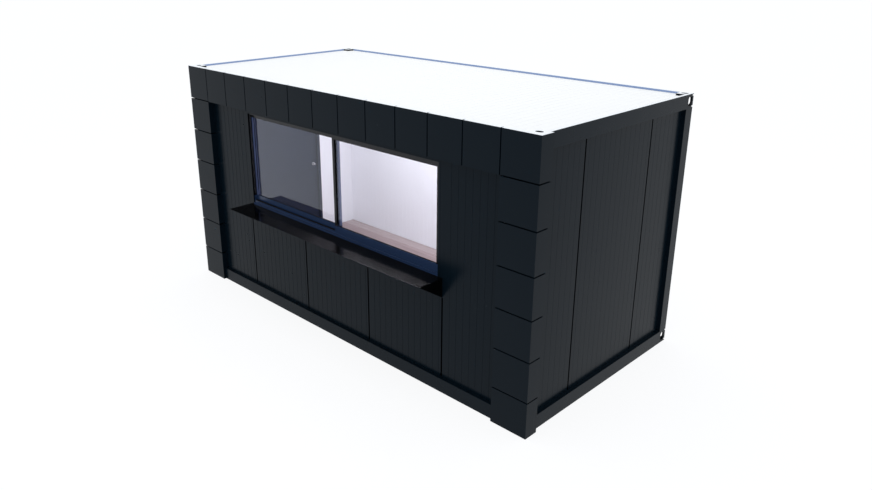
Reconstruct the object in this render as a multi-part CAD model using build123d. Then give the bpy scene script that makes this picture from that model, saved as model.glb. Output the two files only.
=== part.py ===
from build123d import *
import os

# Sales container: a steel-framed cabin with a sliding service window, a counter shelf
# under it, a door in the left end and a dressing of folded sheet cassettes.
# Millimetres. +X runs along the length, the service front faces -Y, +Z is up.
# The origin is at the middle of the ground under the whole outline.

# Steel frame
frame_length = 5000.0
frame_depth = 2400.0
frame_height = 2600.0
rail_height = 137.0
section_sheet = 4.0
rim_lip = 30.0
roof_drop = 25.0
casting_wall = 8.0
casting_hole_long = 96.0
casting_hole_wide = 68.0
lifting_hole_long = 70.0
lifting_hole_wide = 46.0
casting_notch_height = 16.0
casting_notch_depth = 20.0

# Sandwich walls
wall_recess = 40.0
wall_thickness = 80.0
panel_module = 1000.0
end_panel_width = 1060.0
joint_width = 12.0
joint_depth = 20.0
fit_gap = 0.2

# Floor, ceiling and roof
floor_board = 21.0
cross_member_height = 100.0
cross_member_flange = 50.0
cross_member_count = 8
ceiling_board = 12.0
ceiling_bearing = 40.0
roof_sheet_gauge = 3.0
board_clearance = 2.0

# Service window, measured from the left end of the frame
window_left = 1050.0
window_right = 3940.0
window_sill = 1150.0
window_head = 2180.0
window_setback = 10.0
window_jamb = 10.0
window_sill_bar = 30.0
sash_depth = 30.0
sash_meeting_stile = 30.0
sash_outer_stile = 18.0
sash_bottom_rail = 57.0
sash_top_rail = 36.0
meeting_x = 2510.0
glass_gauge = 6.0

# Counter shelf
shelf_left = 1000.0
shelf_right = 4000.0
shelf_top = 1130.0
shelf_reach = 255.0
shelf_back_height = 190.0
shelf_sheet = 3.0

# Cassette dressing
cassette_proud = 30.0
cassette_sheet = 2.0
cassette_gap = 12.0
column_width = 380.0
column_return = 150.0
band_height = 376.0
bottom_row_height = 344.0
row_count = 6
band_count = 11

# Door in the left end
door_frame_width = 25.0
door_head = 2195.0
door_clearance = 7.0
door_thickness = 45.0
door_stop = 15.0
threshold_height = 24.0
knob_radius = 18.0
knob_reach = 46.0
knob_rose = 22.0
knob_rose_gauge = 6.0
knob_neck = 8.0
knob_round = 6.0
knob_height = 1121.0
knob_backset = 75.0
hinge_radius = 9.0
hinge_pin = 5.0
hinge_fit = 0.3
hinge_knuckle = 45.0
hinge_plate = 4.0
hinge_plate_width = 40.0
hinge_count = 3

# Worked out from the sizes above
section = wall_recess + wall_thickness
x_left = -frame_length / 2
y_front = (shelf_reach - frame_depth) / 2
wall_bottom = rail_height
wall_top = frame_height - rail_height
inner_right = frame_length - section
inner_back = frame_depth - section
floor_top = rail_height + floor_board
roof_level = frame_height - roof_drop


def block(x0, x1, y0, y1, z0, z1):
    """A box given by its faces, measured from the frame's front left bottom corner."""
    centre = ((x0 + x1) / 2 + x_left, (y0 + y1) / 2 + y_front, (z0 + z1) / 2)
    return Pos(*centre) * Box(x1 - x0, y1 - y0, z1 - z0)


def prism(points, plane, length):
    """A closed outline drawn on a plane and pushed out along the plane's normal."""
    face = plane * make_face(Polyline(*points, close=True))
    return extrude(face, length)


def keep(node, shape):
    """Write one named piece."""
    export_step(shape, f"parts/{node}.step")


os.makedirs("parts", exist_ok=True)


# Bottom rails: folded channels that open inwards, with the walls standing on them.
def channel_points(low, high):
    inner = section
    sheet = section_sheet
    return [
        (0, low),
        (inner, low),
        (inner, low + sheet),
        (sheet, low + sheet),
        (sheet, high - sheet),
        (inner, high - sheet),
        (inner, high),
        (0, high),
    ]


# Top rails: the same channel with an upturned rim that stands above the roof sheet.
def rim_points():
    low = wall_top
    high = frame_height
    sheet = section_sheet
    inner = section
    ledge = roof_level
    return [
        (0, low),
        (inner, low),
        (inner, low + sheet),
        (sheet, low + sheet),
        (sheet, high - sheet),
        (rim_lip - sheet, high - sheet),
        (rim_lip - sheet, ledge - sheet),
        (inner, ledge - sheet),
        (inner, ledge),
        (rim_lip, ledge),
        (rim_lip, high),
        (0, high),
    ]


def long_rail(points, at_back):
    """A rail along X; its profile is given from the outer face inwards."""
    x_start = x_left + section
    length = frame_length - 2 * section
    if at_back:
        origin = (x_start + length, y_front + frame_depth, 0)
        return prism(points, Plane(origin, x_dir=(0, -1, 0), z_dir=(-1, 0, 0)), length)
    origin = (x_start, y_front, 0)
    return prism(points, Plane(origin, x_dir=(0, 1, 0), z_dir=(1, 0, 0)), length)


def end_rail(points, at_right):
    """A rail along Y; its profile is given from the outer face inwards."""
    y_start = y_front + section
    length = frame_depth - 2 * section
    if at_right:
        origin = (x_left + frame_length, y_start, 0)
        return prism(points, Plane(origin, x_dir=(-1, 0, 0), z_dir=(0, 1, 0)), length)
    origin = (x_left, y_start + length, 0)
    return prism(points, Plane(origin, x_dir=(1, 0, 0), z_dir=(0, -1, 0)), length)


bottom_points = channel_points(0, rail_height)
keep("bottom_rail_front", long_rail(bottom_points, False))
keep("bottom_rail_back", long_rail(bottom_points, True))
keep("bottom_rail_left", end_rail(bottom_points, False))
keep("bottom_rail_right", end_rail(bottom_points, True))
keep("top_rail_front", long_rail(rim_points(), False))
keep("top_rail_back", long_rail(rim_points(), True))
keep("top_rail_left", end_rail(rim_points(), False))
keep("top_rail_right", end_rail(rim_points(), True))


# Corner posts: square folded tubes between the corner castings.
def post(x0, y0):
    outer = block(x0, x0 + section, y0, y0 + section, wall_bottom, wall_top)
    sheet = section_sheet
    hollow = block(
        x0 + sheet, x0 + section - sheet, y0 + sheet, y0 + section - sheet, wall_bottom, wall_top
    )
    return outer - hollow


keep("post_front_left", post(0, 0))
keep("post_front_right", post(inner_right, 0))
keep("post_back_left", post(0, inner_back))
keep("post_back_right", post(inner_right, inner_back))


# Corner castings: hollow blocks with an oblong hole in the end and the long side, a smaller
# one for lifting in the top or bottom, and two notches in the outer upright edge.
def casting(at_right, at_back, at_top):
    size = section
    x0 = inner_right if at_right else 0
    y0 = inner_back if at_back else 0
    z0 = wall_top if at_top else 0
    wall = casting_wall
    body = block(x0, x0 + size, y0, y0 + size, z0, z0 + rail_height)
    body -= block(
        x0 + wall, x0 + size - wall, y0 + wall, y0 + size - wall, z0 + wall, z0 + rail_height - wall
    )
    centre = Vector(x0 + size / 2 + x_left, y0 + size / 2 + y_front, z0 + rail_height / 2)
    side_slot = SlotOverall(casting_hole_long, casting_hole_wide)
    lift_slot = SlotOverall(lifting_hole_long, lifting_hole_wide)
    x_way = 1 if at_right else -1
    y_way = 1 if at_back else -1
    z_way = 1 if at_top else -1
    reach = size
    end_plane = Plane(centre, x_dir=(0, 0, 1), z_dir=(x_way, 0, 0))
    side_plane = Plane(centre, x_dir=(0, 0, 1), z_dir=(0, y_way, 0))
    lift_plane = Plane(centre, x_dir=(1, 0, 0), z_dir=(0, 0, z_way))
    for plane, slot in ((end_plane, side_slot), (side_plane, side_slot), (lift_plane, lift_slot)):
        body -= extrude(plane * slot, reach)
    edge_x = x0 + size - casting_notch_depth if at_right else x0
    edge_y = y0 + size - casting_notch_depth if at_back else y0
    for low in (z0 + wall, z0 + rail_height - wall - casting_notch_height):
        body -= block(
            edge_x, edge_x + casting_notch_depth, edge_y, edge_y + casting_notch_depth,
            low, low + casting_notch_height
        )
    return body


top_castings = []
bottom_castings = []
for at_right in (False, True):
    for at_back in (False, True):
        top_castings.append(casting(at_right, at_back, True))
        bottom_castings.append(casting(at_right, at_back, False))
keep("top_castings", Compound(children=top_castings))
keep("bottom_castings", Compound(children=bottom_castings))


# Sandwich panels: each meets the next at a tongue, and its outer face stops short of the
# joint so that a dark line shows between two panels.
def front_panel(x0, x1, z0, z1, joint_left=False, joint_right=False):
    face = wall_recess
    x_low = x0 + fit_gap / 2
    x_high = x1 - fit_gap / 2
    body = block(x_low, x_high, face, section, z0, z1)
    if joint_left:
        body -= block(x_low, x0 + joint_width / 2, face, face + joint_depth, z0, z1)
    if joint_right:
        body -= block(x1 - joint_width / 2, x_high, face, face + joint_depth, z0, z1)
    return body


def back_panel(x0, x1, joint_left, joint_right):
    face = frame_depth - wall_recess
    x_low = x0 + fit_gap / 2
    x_high = x1 - fit_gap / 2
    body = block(x_low, x_high, inner_back, face, wall_bottom, wall_top)
    if joint_left:
        body -= block(x_low, x0 + joint_width / 2, face - joint_depth, face, wall_bottom, wall_top)
    if joint_right:
        body -= block(x1 - joint_width / 2, x_high, face - joint_depth, face, wall_bottom, wall_top)
    return body


def end_panel(y0, y1, at_right, z0=wall_bottom, z1=wall_top, joint_low=False, joint_high=False):
    x_face = frame_length - wall_recess if at_right else wall_recess
    x_inner = inner_right if at_right else section
    groove = x_face - joint_depth if at_right else x_face + joint_depth
    y_low = y0 + fit_gap / 2
    y_high = y1 - fit_gap / 2
    body = block(min(x_face, x_inner), max(x_face, x_inner), y_low, y_high, z0, z1)
    g0 = min(x_face, groove)
    g1 = max(x_face, groove)
    if joint_low:
        body -= block(g0, g1, y_low, y0 + joint_width / 2, z0, z1)
    if joint_high:
        body -= block(g0, g1, y1 - joint_width / 2, y_high, z0, z1)
    return body


module_lines = []
line = panel_module
while line < frame_length - section:
    module_lines.append(line)
    line += panel_module


def front_run(x0, x1, z0, z1):
    """Panels of one stretch of the front wall, split at the module lines."""
    edges = [x0] + [m for m in module_lines if x0 < m < x1] + [x1]
    panels = []
    for i in range(len(edges) - 1):
        panels.append(
            front_panel(edges[i], edges[i + 1], z0, z1, i > 0, i < len(edges) - 2)
        )
    return Compound(children=panels)


keep("front_wall_left", front_run(section, window_left, wall_bottom, wall_top))
keep("front_wall_right", front_run(window_right, inner_right, wall_bottom, wall_top))
keep("front_wall_below_window", front_run(window_left, window_right, wall_bottom, window_sill))
keep("front_wall_above_window", front_run(window_left, window_right, window_head, wall_top))

back_edges = [section] + module_lines + [inner_right]
back_panels = []
for i in range(len(back_edges) - 1):
    back_panels.append(
        back_panel(back_edges[i], back_edges[i + 1], i > 0, i < len(back_edges) - 2)
    )
keep("back_wall", Compound(children=back_panels))

bay_low = (frame_depth - end_panel_width) / 2
bay_high = bay_low + end_panel_width
right_panels = [
    end_panel(section, bay_low, True, joint_high=True),
    end_panel(bay_low, bay_high, True, joint_low=True, joint_high=True),
    end_panel(bay_high, inner_back, True, joint_low=True),
]
keep("right_wall", Compound(children=right_panels))
keep("left_wall_front", end_panel(section, bay_low, False, joint_high=True))
keep("left_wall_back", end_panel(bay_high, inner_back, False, joint_low=True))
keep(
    "left_wall_over_door",
    end_panel(bay_low, bay_high, False, z0=door_head, joint_low=True, joint_high=True),
)


# Floor: cross members between the long rails carry a board of planks.
member_low = rail_height - cross_member_height
member_pitch = (frame_length - 2 * section) / (cross_member_count + 1)
members = []
for i in range(cross_member_count):
    x0 = section + member_pitch * (i + 1) - cross_member_flange / 2
    sheet = section_sheet
    channel = [
        (0, member_low),
        (cross_member_flange, member_low),
        (cross_member_flange, member_low + sheet),
        (sheet, member_low + sheet),
        (sheet, rail_height - sheet),
        (cross_member_flange, rail_height - sheet),
        (cross_member_flange, rail_height),
        (0, rail_height),
    ]
    origin = (x_left + x0, y_front + frame_depth - section, 0)
    plane = Plane(origin, x_dir=(1, 0, 0), z_dir=(0, -1, 0))
    members.append(prism(channel, plane, frame_depth - 2 * section))
keep("floor_cross_members", Compound(children=members))

keep(
    "floor_board",
    block(
        section + board_clearance,
        inner_right - board_clearance,
        section + board_clearance,
        inner_back - board_clearance,
        rail_height,
        floor_top,
    ),
)


def between_castings(edge, z0, z1):
    """A board in three strips that reaches out to an edge line between the castings."""
    corner = section + board_clearance
    return Compound(
        children=[
            block(edge, corner - fit_gap, corner, frame_depth - corner, z0, z1),
            block(corner, frame_length - corner, edge, frame_depth - edge, z0, z1),
            block(
                frame_length - corner + fit_gap, frame_length - edge,
                corner, frame_depth - corner, z0, z1
            ),
        ]
    )


# Ceiling: boards that lie on the bottom flanges of the top rails.
ceiling_low = wall_top + section_sheet
ceiling_edge = section - ceiling_bearing
keep("ceiling", between_castings(ceiling_edge, ceiling_low, ceiling_low + ceiling_board))

# Roof: sheets that lie on the ledges of the top rails, inside the upturned rim.
roof_edge = rim_lip + board_clearance
keep("roof_sheet", between_castings(roof_edge, roof_level, roof_level + roof_sheet_gauge))


# Service window: a frame of four bars in the wall, two sashes on two tracks, each with
# its own pane. The right sash runs on the outer track.
frame_y0 = wall_recess + window_setback
outer_track = frame_y0
inner_track = outer_track + sash_depth
frame_y1 = inner_track + sash_depth
clear_left = window_left + window_jamb
clear_right = window_right - window_jamb
clear_low = window_sill + window_sill_bar
clear_high = window_head - window_jamb
window_bars = [
    block(window_left, window_right, frame_y0, frame_y1, window_sill, clear_low),
    block(window_left, window_right, frame_y0, frame_y1, clear_high, window_head),
    block(window_left, clear_left, frame_y0, frame_y1, clear_low + fit_gap, clear_high - fit_gap),
    block(clear_right, window_right, frame_y0, frame_y1, clear_low + fit_gap, clear_high - fit_gap),
]
keep("window_frame", Compound(children=window_bars))


def sash(x0, x1, y0, stile0, stile1):
    y1 = y0 + sash_depth
    low = clear_low
    high = clear_high
    inner_low = low + sash_bottom_rail
    inner_high = high - sash_top_rail
    return [
        block(x0, x1, y0, y1, low, inner_low),
        block(x0, x1, y0, y1, inner_high, high),
        block(x0, x0 + stile0, y0, y1, inner_low + fit_gap, inner_high - fit_gap),
        block(x1 - stile1, x1, y0, y1, inner_low + fit_gap, inner_high - fit_gap),
    ]


def pane(x0, x1, y0, stile0, stile1):
    middle = y0 + sash_depth / 2
    return block(
        x0 + stile0 + fit_gap,
        x1 - stile1 - fit_gap,
        middle - glass_gauge / 2,
        middle + glass_gauge / 2,
        clear_low + sash_bottom_rail + fit_gap,
        clear_high - sash_top_rail - fit_gap,
    )


meeting = sash_meeting_stile
left_sash = (clear_left + fit_gap, meeting_x + meeting / 2, inner_track, sash_outer_stile, meeting)
right_sash = (meeting_x - meeting / 2, clear_right - fit_gap, outer_track, meeting, sash_outer_stile)
keep("window_sash_left", Compound(children=sash(*left_sash)))
keep("window_sash_right", Compound(children=sash(*right_sash)))
keep("window_glass_left", pane(*left_sash))
keep("window_glass_right", pane(*right_sash))


# Counter shelf: one folded sheet, flat on top and sloping back to the wall underneath,
# with a triangular cheek at each end. It is open towards the wall.
def shelf():
    back = wall_recess
    front = -shelf_reach
    low = shelf_top - shelf_back_height
    outline = [(front, shelf_top), (back, low), (back, shelf_top)]
    start = (x_left + shelf_left, y_front, 0)
    length = shelf_right - shelf_left
    outer = prism(outline, Plane(start, x_dir=(0, 1, 0), z_dir=(1, 0, 0)), length)
    sheet = shelf_sheet
    nose = 6 * sheet
    top = shelf_top - sheet
    rise = shelf_back_height / (shelf_reach + wall_recess)
    under = [
        (front + nose, top),
        (back, top - (back - front - nose) * rise + sheet),
        (back, top),
    ]
    inner_start = (x_left + shelf_left + sheet, y_front, 0)
    inner = prism(under, Plane(inner_start, x_dir=(0, 1, 0), z_dir=(1, 0, 0)), length - 2 * sheet)
    return outer - inner


keep("counter_shelf", shelf())


# Cassettes of the top band: shallow folded trays hooked on the frame, open at the back.
band_low = frame_height - band_height
band_pitch = (frame_length + 2 * cassette_proud - 2 * column_width) / band_count
band_start = column_width - cassette_proud


def band_tray(x0, x1):
    sheet = cassette_sheet
    z0 = band_low
    z1 = frame_height
    front = -cassette_proud
    tray = block(x0, x1, front, 0, z0, z1)
    tray -= block(x0 + sheet, x1 - sheet, front + sheet, 0, z0 + sheet, z1 - sheet)
    tray += block(x0, x1, 0, wall_recess, z0, z0 + sheet)
    return tray


band_trays = []
for i in range(band_count):
    x0 = band_start + i * band_pitch + cassette_gap / 2
    x1 = band_start + (i + 1) * band_pitch - cassette_gap / 2
    band_trays.append(band_tray(x0, x1))
keep("band_cassettes", Compound(children=band_trays))


# Cassettes of the corner columns: trays folded round the corner of the frame.
def corner_tray(z0, z1, at_right):
    sheet = cassette_sheet
    edge = column_width - cassette_proud - (cassette_gap / 2 if z1 > band_low + sheet else 0)
    back = column_return - cassette_proud
    proud = cassette_proud

    def ell(side, front, inner_x, inner_y, low, high):
        plan = [
            (side, front),
            (inner_x, front),
            (inner_x, 0),
            (0, 0),
            (0, inner_y),
            (side, inner_y),
        ]
        origin = (x_left, y_front, low)
        return prism(plan, Plane(origin, x_dir=(1, 0, 0), z_dir=(0, 0, 1)), high - low)

    tray = ell(-proud, -proud, edge, back, z0, z1)
    tray -= ell(-proud + sheet, -proud + sheet, edge - sheet, back - sheet, z0 + sheet, z1 - sheet)
    if z1 < wall_top + rail_height:
        low = max(z0, wall_bottom)
        tray += block(edge - sheet, edge, 0, wall_recess, low, z1)
    if at_right:
        tray = mirror(tray, Plane.YZ)
    return tray


row_pitch = (band_low - bottom_row_height) / (row_count - 1)
row_tops = [band_low - i * row_pitch for i in range(row_count)]
top_trays = []
for at_right, node in ((False, "left_column_cassettes"), (True, "right_column_cassettes")):
    top_trays.append(corner_tray(band_low + cassette_gap / 2, frame_height, at_right))
    trays = []
    for i in range(row_count):
        high = row_tops[i] - cassette_gap / 2
        low = row_tops[i + 1] + cassette_gap / 2 if i < row_count - 1 else 0
        trays.append(corner_tray(low, high, at_right))
    keep(node, Compound(children=trays))
keep("top_corner_cassettes", Compound(children=top_trays))


# Door in the left end: a steel frame with a stop, a threshold, an insulated leaf that
# opens outwards on three hinges at its front edge, and a round knob on both faces.
frame_x0 = wall_recess
stop_x0 = wall_recess + door_thickness + door_clearance
jamb_low = bay_low + fit_gap
jamb_high = bay_high - fit_gap


def door_bar(y0, y1, z0, z1, stop_y0, stop_y1, stop_z0, stop_z1):
    bar = block(frame_x0, section, y0, y1, z0, z1)
    return bar + block(stop_x0, section, stop_y0, stop_y1, stop_z0, stop_z1)


head_low = door_head - door_frame_width
sill_top = rail_height + threshold_height
jamb_top = head_low - fit_gap
width = door_frame_width
reach = door_frame_width + door_stop
door_bars = [
    door_bar(jamb_low, jamb_low + width, sill_top + fit_gap, jamb_top,
             jamb_low, jamb_low + reach, sill_top + fit_gap, jamb_top - door_stop),
    door_bar(jamb_high - width, jamb_high, sill_top + fit_gap, jamb_top,
             jamb_high - reach, jamb_high, sill_top + fit_gap, jamb_top - door_stop),
    door_bar(jamb_low, jamb_high, head_low, door_head - fit_gap,
             jamb_low + width, jamb_high - width, head_low - door_stop, head_low),
]
keep("door_frame", Compound(children=door_bars))
keep("door_threshold", block(wall_recess, section, jamb_low, jamb_high, rail_height, sill_top))

leaf_y0 = jamb_low + width + door_clearance
leaf_y1 = jamb_high - width - door_clearance
leaf_z0 = sill_top + door_clearance
leaf_z1 = head_low - door_clearance
leaf_x0 = wall_recess
leaf_x1 = wall_recess + door_thickness
keep("door_leaf", block(leaf_x0, leaf_x1, leaf_y0, leaf_y1, leaf_z0, leaf_z1))

knob_y = leaf_y1 - knob_backset


def knob(face_x, way):
    """A knob on a round rose, turned about X, standing out from one face of the leaf."""
    origin = (x_left + face_x, y_front + knob_y, knob_height)
    plane = Plane(origin, x_dir=(0, 1, 0), z_dir=(way, 0, 0))
    rose = extrude(plane * Circle(knob_rose), knob_rose_gauge)
    neck = extrude(plane * Circle(knob_neck), knob_reach - knob_radius)
    head_plane = plane.offset(knob_reach - knob_radius)
    head = extrude(head_plane * Circle(knob_radius), knob_radius)
    head = chamfer(head.edges().filter_by(GeomType.CIRCLE), knob_round)
    return rose + neck + head


keep("door_knobs", Compound(children=[knob(leaf_x0, -1), knob(leaf_x1, 1)]))

axis_x = wall_recess - hinge_radius - hinge_fit
axis_y = leaf_y0 - door_clearance / 2
fixed = []
moving = []
for i in range(hinge_count):
    middle = leaf_z0 + (leaf_z1 - leaf_z0) * (2 * i + 1) / (2 * hinge_count)
    base = (x_left + axis_x, y_front + axis_y, middle)
    gap = hinge_fit
    low = Pos(base[0], base[1], middle - hinge_knuckle / 2 - gap) * Cylinder(hinge_radius, hinge_knuckle)
    pin = Pos(*base) * Cylinder(hinge_pin, 2 * hinge_knuckle)
    plate_low = block(
        wall_recess - hinge_plate, wall_recess, axis_y - door_frame_width,
        axis_y, middle - hinge_knuckle - gap, middle - gap
    )
    fixed.append(low + pin + plate_low)
    high = Pos(base[0], base[1], middle + hinge_knuckle / 2) * Cylinder(hinge_radius, hinge_knuckle)
    bore = Pos(*base) * Cylinder(hinge_pin + hinge_fit, 4 * hinge_knuckle)
    plate_high = block(
        wall_recess - hinge_plate, wall_recess, axis_y,
        axis_y + hinge_plate_width, middle, middle + hinge_knuckle
    )
    moving.append(high + plate_high - bore)
keep("door_hinges_fixed", Compound(children=fixed))
keep("door_hinges_moving", Compound(children=moving))
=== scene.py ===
import math

import bpy
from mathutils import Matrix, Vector


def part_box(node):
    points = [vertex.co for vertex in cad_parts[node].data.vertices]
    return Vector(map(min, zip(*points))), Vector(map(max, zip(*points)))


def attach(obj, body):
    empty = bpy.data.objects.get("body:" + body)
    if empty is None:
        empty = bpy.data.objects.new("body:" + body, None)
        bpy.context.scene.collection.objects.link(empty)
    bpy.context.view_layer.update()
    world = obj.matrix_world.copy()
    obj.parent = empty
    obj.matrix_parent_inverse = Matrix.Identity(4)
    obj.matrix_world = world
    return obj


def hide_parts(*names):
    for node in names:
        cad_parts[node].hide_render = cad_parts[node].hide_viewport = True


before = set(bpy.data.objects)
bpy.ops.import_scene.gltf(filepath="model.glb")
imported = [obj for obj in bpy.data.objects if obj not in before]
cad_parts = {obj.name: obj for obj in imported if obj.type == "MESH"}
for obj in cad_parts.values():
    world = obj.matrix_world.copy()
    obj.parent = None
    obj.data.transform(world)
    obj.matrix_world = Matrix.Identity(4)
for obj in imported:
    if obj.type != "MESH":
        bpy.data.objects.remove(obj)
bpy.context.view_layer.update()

# Camera: the photograph's own place and lens, found from the straight edges of the object.
# The lens looks a little off the middle of the picture, which the shift gives back.
image_width = 872
focal_pixels = 758.148
sensor_width = 36.0
centre_right = 19.92
centre_down = 26.04
camera_place = (5.686, -5.5435, 3.853)
camera_turn = math.radians(45.0428)
camera_drop = math.radians(19.4174)
view_end = 400.0
bpy.ops.object.camera_add(
    location=camera_place, rotation=(math.radians(90) - camera_drop, 0, camera_turn)
)
camera = bpy.context.object
camera.data.sensor_width = sensor_width
camera.data.lens = sensor_width * focal_pixels / image_width
camera.data.shift_x = centre_right / image_width
camera.data.shift_y = -centre_down / image_width
camera.data.clip_end = view_end
bpy.context.scene.camera = camera


# Lamps: one large soft box hangs over the object, as in a studio, and one soft panel under the
# ceiling lights the room. Neither is seen itself, and the panel makes no highlight.
def linear(text):
    """A written sRGB colour such as "2b3036" as the linear colour that a shader wants."""
    colour = []
    for i in (0, 2, 4):
        part = int(text[i : i + 2], 16) / 255
        colour.append(part / 12.92 if part <= 0.04045 else ((part + 0.055) / 1.055) ** 2.4)
    return (*colour, 1.0)


overhead_height = 8.0
overhead_size = 9.0
overhead_watts = 185
bpy.context.scene.view_settings.view_transform = "Standard"
bpy.ops.object.light_add(type="AREA", location=(0, 0, overhead_height))
overhead = bpy.context.object
overhead.name = "overhead_lamp"
overhead.data.size = overhead_size
overhead.data.energy = overhead_watts
overhead.data.color = linear("fffcf8")[:3]
overhead.visible_camera = False

lamp_margin = 0.7
lamp_drop = 0.08
lamp_watts = 64
room_low, room_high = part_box("floor_board")
room_middle = (room_low + room_high) / 2
lamp_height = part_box("ceiling")[0].z - lamp_drop
bpy.ops.object.light_add(type="AREA", location=(room_middle.x, room_middle.y, lamp_height))
room_lamp = bpy.context.object
room_lamp.name = "room_lamp"
room_lamp.data.shape = "RECTANGLE"
room_lamp.data.size = room_high.x - room_low.x - 2 * lamp_margin
room_lamp.data.size_y = room_high.y - room_low.y - 2 * lamp_margin
room_lamp.data.energy = lamp_watts
room_lamp.data.color = linear("fdfdff")[:3]
room_lamp.visible_camera = False
room_lamp.visible_glossy = False


# World: a white studio. The camera, gloss and glass see it as plain white, and the light that
# it gives is a little weaker and cooler, as from white walls by daylight.
def add(tree, kind, inputs, **settings):
    """Add a node with its settings, its plain values and its links from other nodes."""
    made = tree.nodes.new("ShaderNode" + kind)
    for name, value in settings.items():
        setattr(made, name, value)
    for socket, value in inputs.items():
        if isinstance(value, bpy.types.NodeSocket):
            tree.links.new(value, made.inputs[socket])
        else:
            made.inputs[socket].default_value = value
    return made


def seen_ray(tree):
    """One for a ray from the camera, a mirror or a pane, and nought for light on the object."""
    path = add(tree, "LightPath", {}).outputs
    either = {0: path["Is Camera Ray"], 1: path["Is Transmission Ray"]}
    direct = add(tree, "Math", either, operation="MAXIMUM").outputs[0]
    either = {0: direct, 1: path["Is Glossy Ray"]}
    return add(tree, "Math", either, operation="MAXIMUM").outputs[0]


daylight = 0.85
world = bpy.data.worlds.new("white_room")
bpy.context.scene.world = world
world.use_nodes = True
tree = world.node_tree
tree.nodes.clear()
lit = add(tree, "Background", {"Color": linear("e7f1ff"), "Strength": daylight})
shown = add(tree, "Background", {"Color": linear("ffffff"), "Strength": 1.0})
both = add(tree, "MixShader", {0: seen_ray(tree), 1: lit.outputs[0], 2: shown.outputs[0]})
add(tree, "OutputWorld", {"Surface": both.outputs[0]})


# Studio floor: matt white paper, rolled out far past the edge of the picture. Where it is seen
# most of it glows white, and the rest takes the lamps' light, which keeps the object's shadow.
def material(name):
    """A new material, still without nodes, and its node tree."""
    made = bpy.data.materials.new(name)
    made.use_nodes = True
    made.node_tree.nodes.clear()
    return made, made.node_tree


paper_size = 240.0
white_share = 0.8
white_glow = 1.09
bpy.ops.mesh.primitive_plane_add(size=paper_size, location=(0, 0, 0))
ground = bpy.context.object
ground.name = "studio_floor"
paper, tree = material("matt_white_paper")
share = add(tree, "Math", {0: seen_ray(tree), 1: white_share}, operation="MULTIPLY").outputs[0]
plain = add(tree, "BsdfDiffuse", {"Color": linear("f3f3f3")})
white = add(tree, "Emission", {"Color": linear("ffffff"), "Strength": white_glow})
mixed = add(tree, "MixShader", {0: share, 1: plain.outputs[0], 2: white.outputs[0]})
add(tree, "OutputMaterial", {"Surface": mixed.outputs[0]})
ground.data.materials.append(paper)


# Steel frame: rolled rails and posts welded to hollow cast corners, primed and sprayed in
# anthracite. The roof's white coating is brushed over the top of the rim. Sprayed paint gives
# the eye faint clouds in its colour, a soft cool gloss that drifts a little, and a fine peel.
def cloudy(tree, place, colour, change=0.12, size=588):
    """A colour that drifts to a lighter one, in clouds of that size in millimetres."""
    look = {"Vector": place, "Scale": 1000 / size, "Detail": 4.0}
    clouds = add(tree, "TexNoise", look).outputs["Fac"]
    colour = linear(colour)
    lighter = tuple(min(1.0, part * (1 + change)) for part in colour[:3]) + (1.0,)
    return add(tree, "Mix", {0: clouds, 6: colour, 7: lighter}, data_type="RGBA").outputs[2]


def uneven(tree, place, middle, change=0.03, size=111):
    """A roughness that drifts about a middle value, in patches of that size in millimetres."""
    look = {"Vector": place, "Scale": 1000 / size, "Detail": 3.0}
    limits = {"Value": add(tree, "TexNoise", look).outputs["Fac"]}
    limits["To Min"] = middle - change
    limits["To Max"] = middle + change
    return add(tree, "MapRange", limits).outputs[0]


def peel(tree, place, strength=0.03, size=2.38, height=0.001):
    """The small bumps of a sprayed or rolled skin, of that size in millimetres."""
    look = {"Vector": place, "Scale": 1000 / size, "Detail": 2.0}
    bumps = add(tree, "TexNoise", look).outputs["Fac"]
    relief = {"Height": bumps, "Strength": strength, "Distance": height}
    return add(tree, "Bump", relief).outputs[0]


def sprayed(tree, place, colour, roughness, level, tint):
    """The skin that every coat of paint has over its colour, and the material's output."""
    skin = {
        "Base Color": colour,
        "Roughness": uneven(tree, place, roughness),
        "Normal": peel(tree, place),
        "Specular IOR Level": level,
        "Specular Tint": linear(tint),
    }
    shader = add(tree, "BsdfPrincipled", skin)
    add(tree, "OutputMaterial", {"Surface": shader.outputs[0]})


def rim_painted(name, colour, roughness, level, rim_shade_colour=None):
    """Dark paint with white on the frame's top and, on a rail, painted shade on the rim's inner
    face.
    """
    made, tree = material(name)
    place = add(tree, "TexCoord", {}).outputs["Object"]
    parts = add(tree, "SeparateXYZ", {"Vector": place}).outputs
    base = cloudy(tree, place, colour)
    # Painted shade: the white coating on the rim's inner face, coloured blue-grey as it looks in
    # shade.
    if rim_shade_colour:
        over = {0: parts["Z"], 1: frame_high.z - rim_inside_drop}
        inside = add(tree, "Math", over, operation="GREATER_THAN").outputs[0]
        for axis, middle, far in (
            ("X", frame_middle.x, frame_high.x),
            ("Y", frame_middle.y, frame_high.y),
        ):
            reach = far - middle - rim_width + top_skin + rim_fold
            shift = add(tree, "Math", {0: parts[axis], 1: middle}, operation="SUBTRACT")
            away = add(tree, "Math", {0: shift.outputs[0]}, operation="ABSOLUTE")
            near = add(tree, "Math", {0: away.outputs[0], 1: reach}, operation="LESS_THAN")
            both = {0: inside, 1: near.outputs[0]}
            inside = add(tree, "Math", both, operation="MULTIPLY").outputs[0]
        mix = {0: inside, 6: base, 7: linear(rim_shade_colour)}
        base = add(tree, "Mix", mix, data_type="RGBA").outputs[2]
    over = {0: parts["Z"], 1: frame_high.z - top_skin}
    on_top = add(tree, "Math", over, operation="GREATER_THAN").outputs[0]
    mix = {0: on_top, 6: base, 7: cloudy(tree, place, "f6f6f4", change=0.02)}
    base = add(tree, "Mix", mix, data_type="RGBA").outputs[2]
    sprayed(tree, place, base, roughness, level, cool_gloss)
    return made


def coat(paint, *names):
    """Give carried-over pieces of the frame model their finish."""
    for name in names:
        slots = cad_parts[name].data.materials
        slots.clear()
        slots.append(paint)


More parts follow.
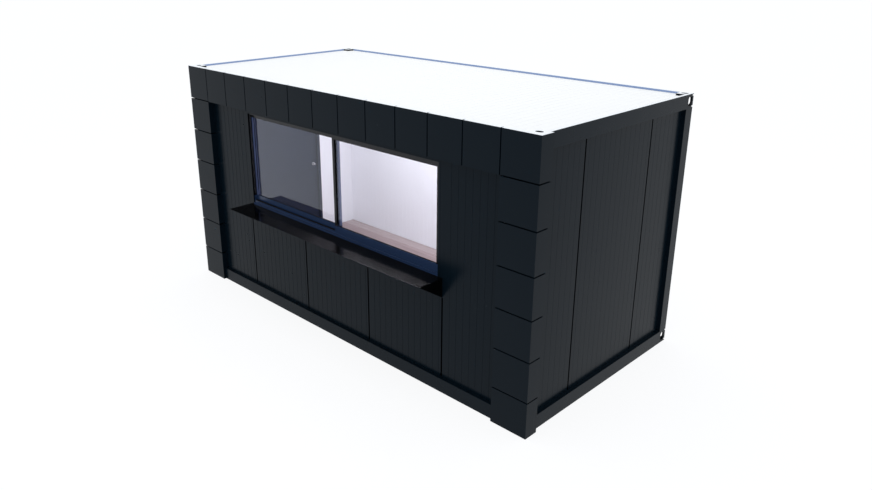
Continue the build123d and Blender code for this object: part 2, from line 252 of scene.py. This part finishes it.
cool_gloss = "f6faff"
rim_width = 0.030
rim_fold = 0.0035
rim_inside_drop = 0.0255
top_skin = 0.0008
frame_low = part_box("bottom_castings")[0]
frame_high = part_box("top_castings")[1]
frame_middle = (frame_low + frame_high) / 2
# The rails carry painted shade on the rim's inner face: blue-grey for the white coating in
# shade.
frame_paint = rim_painted("anthracite_frame_paint", "09141b", 0.28, 0.085, "8fa2c6")
casting_paint = rim_painted("anthracite_casting_paint", "08131a", 0.30, 0.08)
coat(frame_paint, *(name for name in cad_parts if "rail" in name or "post" in name))
coat(casting_paint, "top_castings", "bottom_castings")

# Cross members: folded steel channels between the bottom rails, hot-dip galvanised. Zinc gives
# the eye a dull grey metal with the faint flakes, or spangle, that it sets in.
spangle_size = 11.1
zinc, tree = material("galvanised_sheet")
place = add(tree, "TexCoord", {}).outputs["Object"]
spangle = add(tree, "TexVoronoi", {"Vector": place, "Scale": 1000 / spangle_size})
mix = {0: spangle.outputs["Distance"], 6: linear("9a9da1"), 7: linear("b9bcc0")}
skin = {
    "Base Color": add(tree, "Mix", mix, data_type="RGBA").outputs[2],
    "Metallic": 1.0,
    "Roughness": uneven(tree, place, 0.42, change=0.06, size=16.7),
    "Normal": peel(tree, place, strength=0.05, size=5),
}
shader = add(tree, "BsdfPrincipled", skin)
add(tree, "OutputMaterial", {"Surface": shader.outputs[0]})
coat(zinc, "floor_cross_members")


# Floor planks: bevelled boards of a pressed laminate, clicked together in staggered rows along
# the room. Their printed wood has a grey-brown grain some 350 mm long and 26 mm wide, a tone of
# its own for each plank and a dry, low sheen.
def bar(low, high):
    """A straight bar between two corners."""
    low, high = Vector(low), Vector(high)
    bpy.ops.object.select_all(action="DESELECT")
    bpy.ops.mesh.primitive_cube_add(size=1.0, location=(0, 0, 0))
    bpy.ops.object.mode_set(mode="EDIT")
    bpy.ops.mesh.select_all(action="SELECT")
    bpy.ops.transform.resize(value=high - low)
    bpy.ops.transform.translate(value=(low + high) / 2)
    bpy.ops.object.mode_set(mode="OBJECT")
    return bpy.context.object


def joined(pieces, name):
    """One piece of that name, out of one or several."""
    bpy.ops.object.select_all(action="DESELECT")
    for each in pieces:
        each.select_set(True)
    bpy.context.view_layer.objects.active = pieces[0]
    if len(pieces) > 1:
        bpy.ops.object.join()
    pieces[0].name = name
    return pieces[0]


def dressed(made, paint):
    """Give a new piece its finish and fix it to the container."""
    made.data.materials.clear()
    made.data.materials.append(paint)
    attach(made, "container")


plank_length = 1.285
plank_width = 0.1925
plank_stagger = 0.427
plank_gap = 0.0004
plank_bevel = 0.0010
shortest_plank = 4 * plank_bevel
grain_size = 385
grain_stretch = (1.1, 15.0, 1.0)
plank_share = 0.35
grain_share = 0.65

planks_paint, tree = material("grey_brown_laminate")
place = add(tree, "TexCoord", {}).outputs["Object"]
parts = add(tree, "SeparateXYZ", {"Vector": place}).outputs
inward = add(tree, "Math", {0: parts["Y"], 1: room_low.y}, operation="SUBTRACT").outputs[0]
rows = add(tree, "Math", {0: inward, 1: plank_width}, operation="DIVIDE").outputs[0]
row = add(tree, "Math", {0: rows}, operation="FLOOR").outputs[0]
shift = add(tree, "Math", {0: row, 1: plank_stagger}, operation="MULTIPLY").outputs[0]
along = add(tree, "Math", {0: parts["X"], 1: room_low.x}, operation="SUBTRACT").outputs[0]
along = add(tree, "Math", {0: along, 1: shift}, operation="ADD").outputs[0]
lengths = add(tree, "Math", {0: along, 1: plank_length}, operation="DIVIDE").outputs[0]
plank = add(tree, "Math", {0: lengths}, operation="FLOOR").outputs[0]
which = add(tree, "CombineXYZ", {"X": row, "Y": plank}).outputs[0]
chance = add(tree, "TexWhiteNoise", {"Vector": which}, noise_dimensions="3D").outputs
long_place = add(tree, "VectorMath", {0: place, 1: grain_stretch}, operation="MULTIPLY")
moved = {0: long_place.outputs[0], 1: chance["Color"]}
grain_place = add(tree, "VectorMath", moved, operation="ADD").outputs[0]
look = {"Vector": grain_place, "Scale": 1000 / grain_size, "Detail": 8.0}
grain = add(tree, "TexNoise", look).outputs["Fac"]
grain = add(tree, "Math", {0: grain, 1: grain_share}, operation="MULTIPLY").outputs[0]
own = add(tree, "Math", {0: chance["Value"], 1: plank_share}, operation="MULTIPLY").outputs[0]
tone = add(tree, "Math", {0: own, 1: grain}, operation="ADD").outputs[0]
mix = {0: tone, 6: linear("837272"), 7: linear("b5a3a2")}
skin = {
    "Base Color": add(tree, "Mix", mix, data_type="RGBA").outputs[2],
    "Roughness": uneven(tree, place, 0.45, change=0.05, size=33.3),
    "Specular IOR Level": 0.3,
    "Normal": peel(tree, grain_place, strength=0.15, size=83.3),
}
shader = add(tree, "BsdfPrincipled", skin)
add(tree, "OutputMaterial", {"Surface": shader.outputs[0]})

planks = []
row = 0
near = room_low.y
while near < room_high.y - plank_gap:
    far = min(near + plank_width, room_high.y)
    left = room_low.x - (row * plank_stagger) % plank_length
    while left < room_high.x - plank_gap:
        start = max(left, room_low.x)
        stop = min(left + plank_length, room_high.x)
        if stop - start > shortest_plank:
            low = (start + plank_gap, near + plank_gap, room_low.z)
            planks.append(bar(low, (stop - plank_gap, far - plank_gap, room_high.z)))
        left += plank_length
    near += plank_width
    row += 1
floor_planks = joined(planks, "floor_planks")
bpy.ops.object.modifier_add(type="BEVEL")
floor_planks.modifiers[-1].width = plank_bevel
floor_planks.modifiers[-1].segments = 1
bpy.ops.object.modifier_apply(modifier=floor_planks.modifiers[-1].name)
dressed(floor_planks, planks_paint)
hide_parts("floor_board")


# Walls: foamed sandwich panels on a one metre module, each between two roll-formed steel sheets
# with fine ribs. The sheets are coil-coated: anthracite outside, smooth, with a weak cool gloss,
# and white and nearly matt inside. Between two sheets the dark, dull edge of the panel shows.
def painted(name, colour, roughness, level, tint="ffffff", change=0.12):
    """A plain coat of one colour."""
    made, tree = material(name)
    place = add(tree, "TexCoord", {}).outputs["Object"]
    sprayed(tree, place, cloudy(tree, place, colour, change), roughness, level, tint)
    return made


def draw_line(points):
    """A line through the points, left open in edit mode for the sweep."""
    bpy.ops.object.select_all(action="DESELECT")
    bpy.ops.mesh.primitive_plane_add(size=0.1, location=(0, 0, 0))
    bpy.ops.object.mode_set(mode="EDIT")
    bpy.ops.mesh.select_all(action="SELECT")
    bpy.ops.mesh.merge(type="CENTER")
    bpy.ops.transform.translate(value=points[0])
    for here, there in zip(points, points[1:]):
        step = Vector(there) - Vector(here)
        bpy.ops.mesh.extrude_region_move(TRANSFORM_OT_translate={"value": step})
    return bpy.context.object


def sweep(made, way):
    """Pull the drawn line along a way into a sheet and give it the gauge of the steel."""
    bpy.ops.mesh.select_all(action="SELECT")
    bpy.ops.mesh.extrude_region_move(TRANSFORM_OT_translate={"value": way})
    bpy.ops.object.mode_set(mode="OBJECT")
    bpy.ops.object.modifier_add(type="SOLIDIFY")
    made.modifiers[-1].thickness = sheet_gauge
    made.modifiers[-1].offset = 0
    bpy.ops.object.modifier_apply(modifier=made.modifiers[-1].name)


def grooved(start, stop, ribs, crest, down):
    """Points along a sheet: how far along it, and how high its skin stands there."""
    points = [(start, crest)]
    for at in ribs:
        points += [(at - rib_width / 2, crest), (at - rib_flat / 2, crest + down)]
        points += [(at + rib_flat / 2, crest + down), (at + rib_width / 2, crest)]
    points.append((stop, crest))
    return points


def upright_sheet(along_x, face, outward, start, stop, ribs, foot, head, depth):
    """One ribbed sheet on a wall's face, from start to stop along it and from foot to head."""
    skin = grooved(start, stop, ribs, face + outward * sheet_lift, -outward * depth)
    if along_x:
        made = draw_line([(along, level, foot) for along, level in skin])
    else:
        made = draw_line([(level, along, foot) for along, level in skin])
    sweep(made, (0, 0, head - foot))
    return made


def between_joints(start, stop, joints):
    """The stretches of a wall between its joints, less half a joint's width at each."""
    inner = [at for at in joints if start + joint_half < at < stop - joint_half]
    edges = [start] + inner + [stop]
    spans = []
    for left, right in zip(edges, edges[1:]):
        low = left + joint_half if left in inner else left
        high = right - joint_half if right in inner else right
        spans.append((low, high))
    return spans


def long_sheets(node, face, outward, joints, foot, head, depth):
    """Sheets over one piece of a long wall, ribbed from each panel's left joint."""
    low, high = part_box(node)
    sheets = []
    for start, stop in between_joints(low.x, high.x, joints):
        ribs = [at for at in panel_ribs if start + rib_width < at < stop - rib_width]
        sheets.append(upright_sheet(True, face, outward, start, stop, ribs, foot, head, depth))
    return sheets


def end_sheets(node, name, face, outward, joints, paint):
    """Sheets over one piece of an end wall, ribbed from the middle of each bay."""
    low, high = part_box(node)
    sheets = []
    for start, stop in between_joints(low.y, high.y, joints):
        count = int((stop - start - 2 * bay_margin) / rib_pitch)
        first = (start + stop - count * rib_pitch) / 2
        ribs = [first + i * rib_pitch for i in range(count + 1)]
        span = (start, stop, ribs, low.z, high.z, faint_rib_depth)
        sheets.append(upright_sheet(False, face, outward, *span))
    dressed(joined(sheets, name), paint)


rib_pitch = 0.0794
rib_count = 12
rib_start = 0.091
rib_width = 0.0044
rib_flat = 0.0038
rib_depth = 0.0012
faint_rib_depth = 0.0006
bay_margin = 0.035
sheet_lift = 0.0018
sheet_gauge = 0.0006
panel_module = 1.0
panel_count = 5
joint_half = 0.009
panels = [frame_low.x + panel_module * i for i in range(panel_count)]
modules = panels[1:]
panel_ribs = [panel + rib_start + i * rib_pitch for panel in panels for i in range(rib_count)]

wall_paint = painted("anthracite_coated_sheet", "08131a", 0.26, 0.08, tint=cool_gloss)
lining_paint = painted("white_coated_lining", "efeff4", 0.45, 0.3, change=0.02)
edge_paint = painted("dark_panel_edge", "040405", 0.7, 0.0)
coat(edge_paint, *(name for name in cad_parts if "wall" in name))

# Beside the window the front wall shows its joints under the shelf only, and over the window a
# plain strip closes it. The linings inside have no joints.
outer_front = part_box("front_wall_left")[0].y
inner_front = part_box("front_wall_left")[1].y
shelf_low, shelf_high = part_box("counter_shelf")
for part in ("left", "right", "below_window", "above_window"):
    node = "front_wall_" + part
    low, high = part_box(node)
    if part == "above_window":
        strip = (low.x, high.x, [], low.z, high.z, faint_rib_depth)
        sheets = [upright_sheet(True, outer_front, -1, *strip)]
    elif part == "below_window":
        sheets = long_sheets(node, outer_front, -1, modules, low.z, shelf_high.z, rib_depth)
    else:
        sheets = long_sheets(node, outer_front, -1, modules, low.z, shelf_low.z, rib_depth)
        sheets += long_sheets(node, outer_front, -1, [], shelf_low.z, high.z, rib_depth)
    dressed(joined(sheets, node + "_sheet"), wall_paint)
    sheets = long_sheets(node, inner_front, 1, [], low.z, high.z, faint_rib_depth)
    dressed(joined(sheets, node + "_lining"), lining_paint)

# The back wall is parted at every module outside and is one white skin within the room.
low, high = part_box("back_wall")
sheets = long_sheets("back_wall", high.y, 1, modules, low.z, high.z, rib_depth)
dressed(joined(sheets, "back_wall_sheet"), wall_paint)
sheets = long_sheets("back_wall", low.y, -1, [], low.z, high.z, faint_rib_depth)
dressed(joined(sheets, "back_wall_lining"), lining_paint)

# The end walls have three bays at the right, and two bays and a piece over the door at the left.
bay_joints = [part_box("left_wall_front")[1].y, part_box("left_wall_back")[0].y]
low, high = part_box("right_wall")
end_sheets("right_wall", "right_wall_sheet", high.x, 1, bay_joints, wall_paint)
end_sheets("right_wall", "right_wall_lining", low.x, -1, [], lining_paint)
for node in ("left_wall_front", "left_wall_back", "left_wall_over_door"):
    low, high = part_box(node)
    end_sheets(node, node + "_sheet", low.x, -1, bay_joints, wall_paint)
    end_sheets(node, node + "_lining", high.x, 1, [], lining_paint)

# Ceiling: smooth coated board, screwed up under the roof. Its factory coat is white and matt,
# and all but free of clouds.
ceiling_paint = painted("white_ceiling_board", "e8e8ec", 0.6, 0.2, change=0.02)
coat(ceiling_paint, "ceiling")

# Roof: the same roll-formed steel with its ribs running across, laid inside the rim in three
# strips between the castings. Its brushed-on white coating is soft and matt and hides the steel.
roof_pitch = 1.0 / 12
roof_gap = 0.002
roof_paint = painted("white_roof_coating", "fbf8f2", 0.5, 0.1, change=0.02)
coat(roof_paint, "roof_sheet")
roof_low, roof_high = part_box("roof_sheet")
post_low, post_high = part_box("post_front_left")
corner = post_high.x - post_low.x + roof_gap
left_end = frame_low.x + corner
right_end = frame_high.x - corner
front_end = frame_low.y + corner
back_end = frame_high.y - corner
roof_rib_count = round((frame_high.x - frame_low.x) / roof_pitch)
roof_ribs = [frame_low.x + roof_pitch * i for i in range(1, roof_rib_count)]
sheets = []
for start, stop, near, far in (
    (roof_low.x, left_end, front_end, back_end),
    (left_end, right_end, roof_low.y, roof_high.y),
    (right_end, roof_high.x, front_end, back_end),
):
    ribs = [at for at in roof_ribs if start + rib_width < at < stop - rib_width]
    skin = grooved(start, stop, ribs, roof_high.z + sheet_lift, -rib_depth)
    made = draw_line([(along, near, level) for along, level in skin])
    sweep(made, (0, far - near, 0))
    sheets.append(made)
dressed(joined(sheets, "roof_ribbed_sheet"), roof_paint)


# Window profiles: extruded aluminium, mitred and powder-coated, set in the front wall. Their
# colours are painted light: navy on the rails and the sill is a painted reflection of the shelf
# and the sky, near black on the uprights above is painted shade, and slate on the inner sash
# between its rails is a painted highlight. The coat has more gloss than the wall has.
def banded(name, axis, level, first, *steps):
    """Paint that takes a new colour at each border along one axis."""
    made, tree = material(name)
    place = add(tree, "TexCoord", {}).outputs["Object"]
    along = add(tree, "SeparateXYZ", {"Vector": place}).outputs[axis]
    base = cloudy(tree, place, first, change=0.10)
    for border, colour in steps:
        past = add(tree, "Math", {0: along, 1: border}, operation="GREATER_THAN").outputs[0]
        mix = {0: past, 6: base, 7: cloudy(tree, place, colour, change=0.10)}
        base = add(tree, "Mix", mix, data_type="RGBA").outputs[2]
    sprayed(tree, place, base, 0.26, level, cool_gloss)
    return made


# Painted light: navy is a painted reflection of the shelf and the sky, near black is painted
# shade and slate is a painted highlight.
navy = "22334f"
slate = "525c7e"
near_black = "08090c"
sash_head = 0.037
left_low, left_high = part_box("window_sash_left")
right_low, right_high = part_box("window_sash_right")
rail_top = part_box("window_glass_right")[0].z
head_low = left_high.z - sash_head
inner_steps = [(rail_top, slate), (head_low, near_black)]
# Painted reflection in navy below the rails' top and painted shade above; the inner sash has a
# painted slate highlight between its rails.
profile_painted_light = banded("profile_painted_reflection_and_shade", "Z", 0.3, navy, (rail_top, near_black))
inner_sash_painted_light = banded("inner_sash_painted_reflection_highlight_and_shade", "Z", 0.3, navy, *inner_steps)
coat(profile_painted_light, "window_frame", "window_sash_right")
coat(inner_sash_painted_light, "window_sash_left")

# Sill cover: a folded strip with the profiles' coat, clipped over the wall's cut edge, so it
# carries their navy painted reflection. It runs from the sill down to the shelf.
cover = 0.0025
sill_low, sill_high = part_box("window_frame")
cover_face = outer_front - cover
pieces = [
    bar((sill_low.x, cover_face, shelf_high.z), (sill_high.x, outer_front, sill_low.z)),
    bar((sill_low.x, cover_face, sill_low.z), (sill_high.x, sill_low.y, sill_low.z + cover)),
]
dressed(joined(pieces, "window_sill_cover"), profile_painted_light)

# Window tracks: a strip of rubber with an upright running rib, pressed into the free half of
# each track. Moulded rubber is black and dull and hardly shines.
track_skin = 0.001
track_edge = 0.003
rib_thick = 0.003
rib_high = 0.008
seal_rubber = painted("black_seal_rubber", "08080a", 0.6, 0.1)
tracks = []
foot = left_low.z
for start, stop, near, far in (
    (left_low.x, right_low.x, right_low.y, right_high.y),
    (left_high.x, right_high.x, left_low.y, left_high.y),
):
    start += track_edge
    stop -= track_edge
    middle = (near + far) / 2
    bed_top = foot + track_skin
    tracks.append(bar((start, near + track_edge, foot), (stop, far - track_edge, bed_top)))
    rib_low = (start, middle - rib_thick / 2, foot)
    tracks.append(bar(rib_low, (stop, middle + rib_thick / 2, foot + rib_high)))
dressed(joined(tracks, "window_tracks"), seal_rubber)

# Sash interlock: the upright aluminium fin on the inner sash's meeting stile, which hooks behind
# the outer sash. It has the inner sash's coat, and its slate painted highlight shows past the
# outer stile.
fin_wide = 0.020
fin_clear = 0.002
fin_low = (left_high.x, left_low.y + fin_clear, left_low.z + rib_high + fin_clear)
fin_high = (left_high.x + fin_wide, left_high.y - fin_clear, left_high.z - fin_clear)
dressed(joined([bar(fin_low, fin_high)], "sash_interlock"), inner_sash_painted_light)

# Panes: float glass, one sheet in each sash. It is clear and very smooth, so it shows the room
# behind it with a weak cool reflection on top.
glass, tree = material("clear_float_glass")
place = add(tree, "TexCoord", {}).outputs["Object"]
skin = {
    "Base Color": cloudy(tree, place, "f4f6fb", change=0.01, size=1667),
    "Roughness": uneven(tree, place, 0.004, change=0.003, size=333),
    "Transmission Weight": 1.0,
    "IOR": 1.35,
    "Specular Tint": linear("edf5ff"),
}
shader = add(tree, "BsdfPrincipled", skin)
add(tree, "OutputMaterial", {"Surface": shader.outputs[0]})
coat(glass, "window_glass_left", "window_glass_right")

# Window seals: a strip of the same black rubber, pushed in round each pane on both its faces.
# It closes the gap between the glass and the profile.
seal_wide = 0.005
seal_thick = 0.003
seals = []
for node in ("window_glass_left", "window_glass_right"):
    low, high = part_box(node)
    for near, far in ((low.y - seal_thick, low.y), (high.y, high.y + seal_thick)):
        for foot, head in ((low.z, low.z + seal_wide), (high.z - seal_wide, high.z)):
            seals.append(bar((low.x, near, foot), (high.x, far, head)))
        for left, right in ((low.x, low.x + seal_wide), (high.x - seal_wide, high.x)):
            seals.append(bar((left, near, low.z + seal_wide), (right, far, high.z - seal_wide)))
dressed(joined(seals, "window_seals"), seal_rubber)

# Counter shelf: one long sheet of steel, folded, and lacquered black. The smooth lacquer is
# nearly a dark mirror, in which the pale surroundings show faintly.
shelf_paint = painted("black_gloss_lacquer", "040405", 0.10, 0.055, tint=cool_gloss)
coat(shelf_paint, "counter_shelf")

# Cassettes: folded steel boxes hooked on round the front edge of the roof and the front corners.
# Their powder coat has the wall's colour and gloss, and the roof's white goes over their top.
cassette_paint = rim_painted("anthracite_powder_coat", "08131a", 0.26, 0.08)
coat(cassette_paint, *(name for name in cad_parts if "cassettes" in name))

# Door: a foamed leaf between two painted sheets, in a steel frame on hinges, over a threshold.
# It is anthracite outside and navy towards the room. The threshold and hinges are galvanised.
leaf_low, leaf_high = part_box("door_leaf")
leaf_middle = (leaf_low.x + leaf_high.x) / 2
room_side = (leaf_middle, "171e32")
door_paint = banded("anthracite_and_navy_door", "X", 0.16, "0b0d11", room_side)
coat(door_paint, "door_leaf", "door_frame")
coat(zinc, "door_threshold", "door_hinges_fixed", "door_hinges_moving")

# Door knobs: turned from solid steel and polished to a satin. The turning leaves a fine grain
# that spreads each highlight a little.
turned_grain = 1.67
satin, tree = material("satin_steel")
place = add(tree, "TexCoord", {}).outputs["Object"]
look = {"Vector": place, "Scale": 1000 / turned_grain, "Detail": 1.0}
grain = add(tree, "TexNoise", look).outputs["Fac"]
mix = {0: grain, 6: linear("a9abb0"), 7: linear("c0c2c6")}
skin = {
    "Base Color": add(tree, "Mix", mix, data_type="RGBA").outputs[2],
    "Metallic": 1.0,
    "Roughness": uneven(tree, place, 0.24, change=0.04, size=3.33),
    "Normal": peel(tree, place, strength=0.04, size=turned_grain),
}
shader = add(tree, "BsdfPrincipled", skin)
add(tree, "OutputMaterial", {"Surface": shader.outputs[0]})
coat(satin, "door_knobs")

# Door seal: a strip of the same black rubber, pressed into the frame round the three sides of
# the stop that the leaf closes on.
seal_gap = 0.002
seal_deep = 0.007
seal_edge = 0.027
seal_band = 0.011
door_low, door_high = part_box("door_frame")
seal_face = leaf_high.x + seal_gap
seal_back = leaf_high.x + seal_deep
seal_front = door_low.y + seal_edge
seal_rear = door_high.y - seal_edge
seal_top = door_high.z - seal_edge
side_top = seal_top - seal_band
strips = []
for near in (seal_front, seal_rear - seal_band):
    strips.append(bar((seal_face, near, leaf_low.z), (seal_back, near + seal_band, side_top)))
strips.append(bar((seal_face, seal_front, side_top), (seal_back, seal_rear, seal_top)))
dressed(joined(strips, "door_seal"), seal_rubber)

bpy.context.view_layer.update()
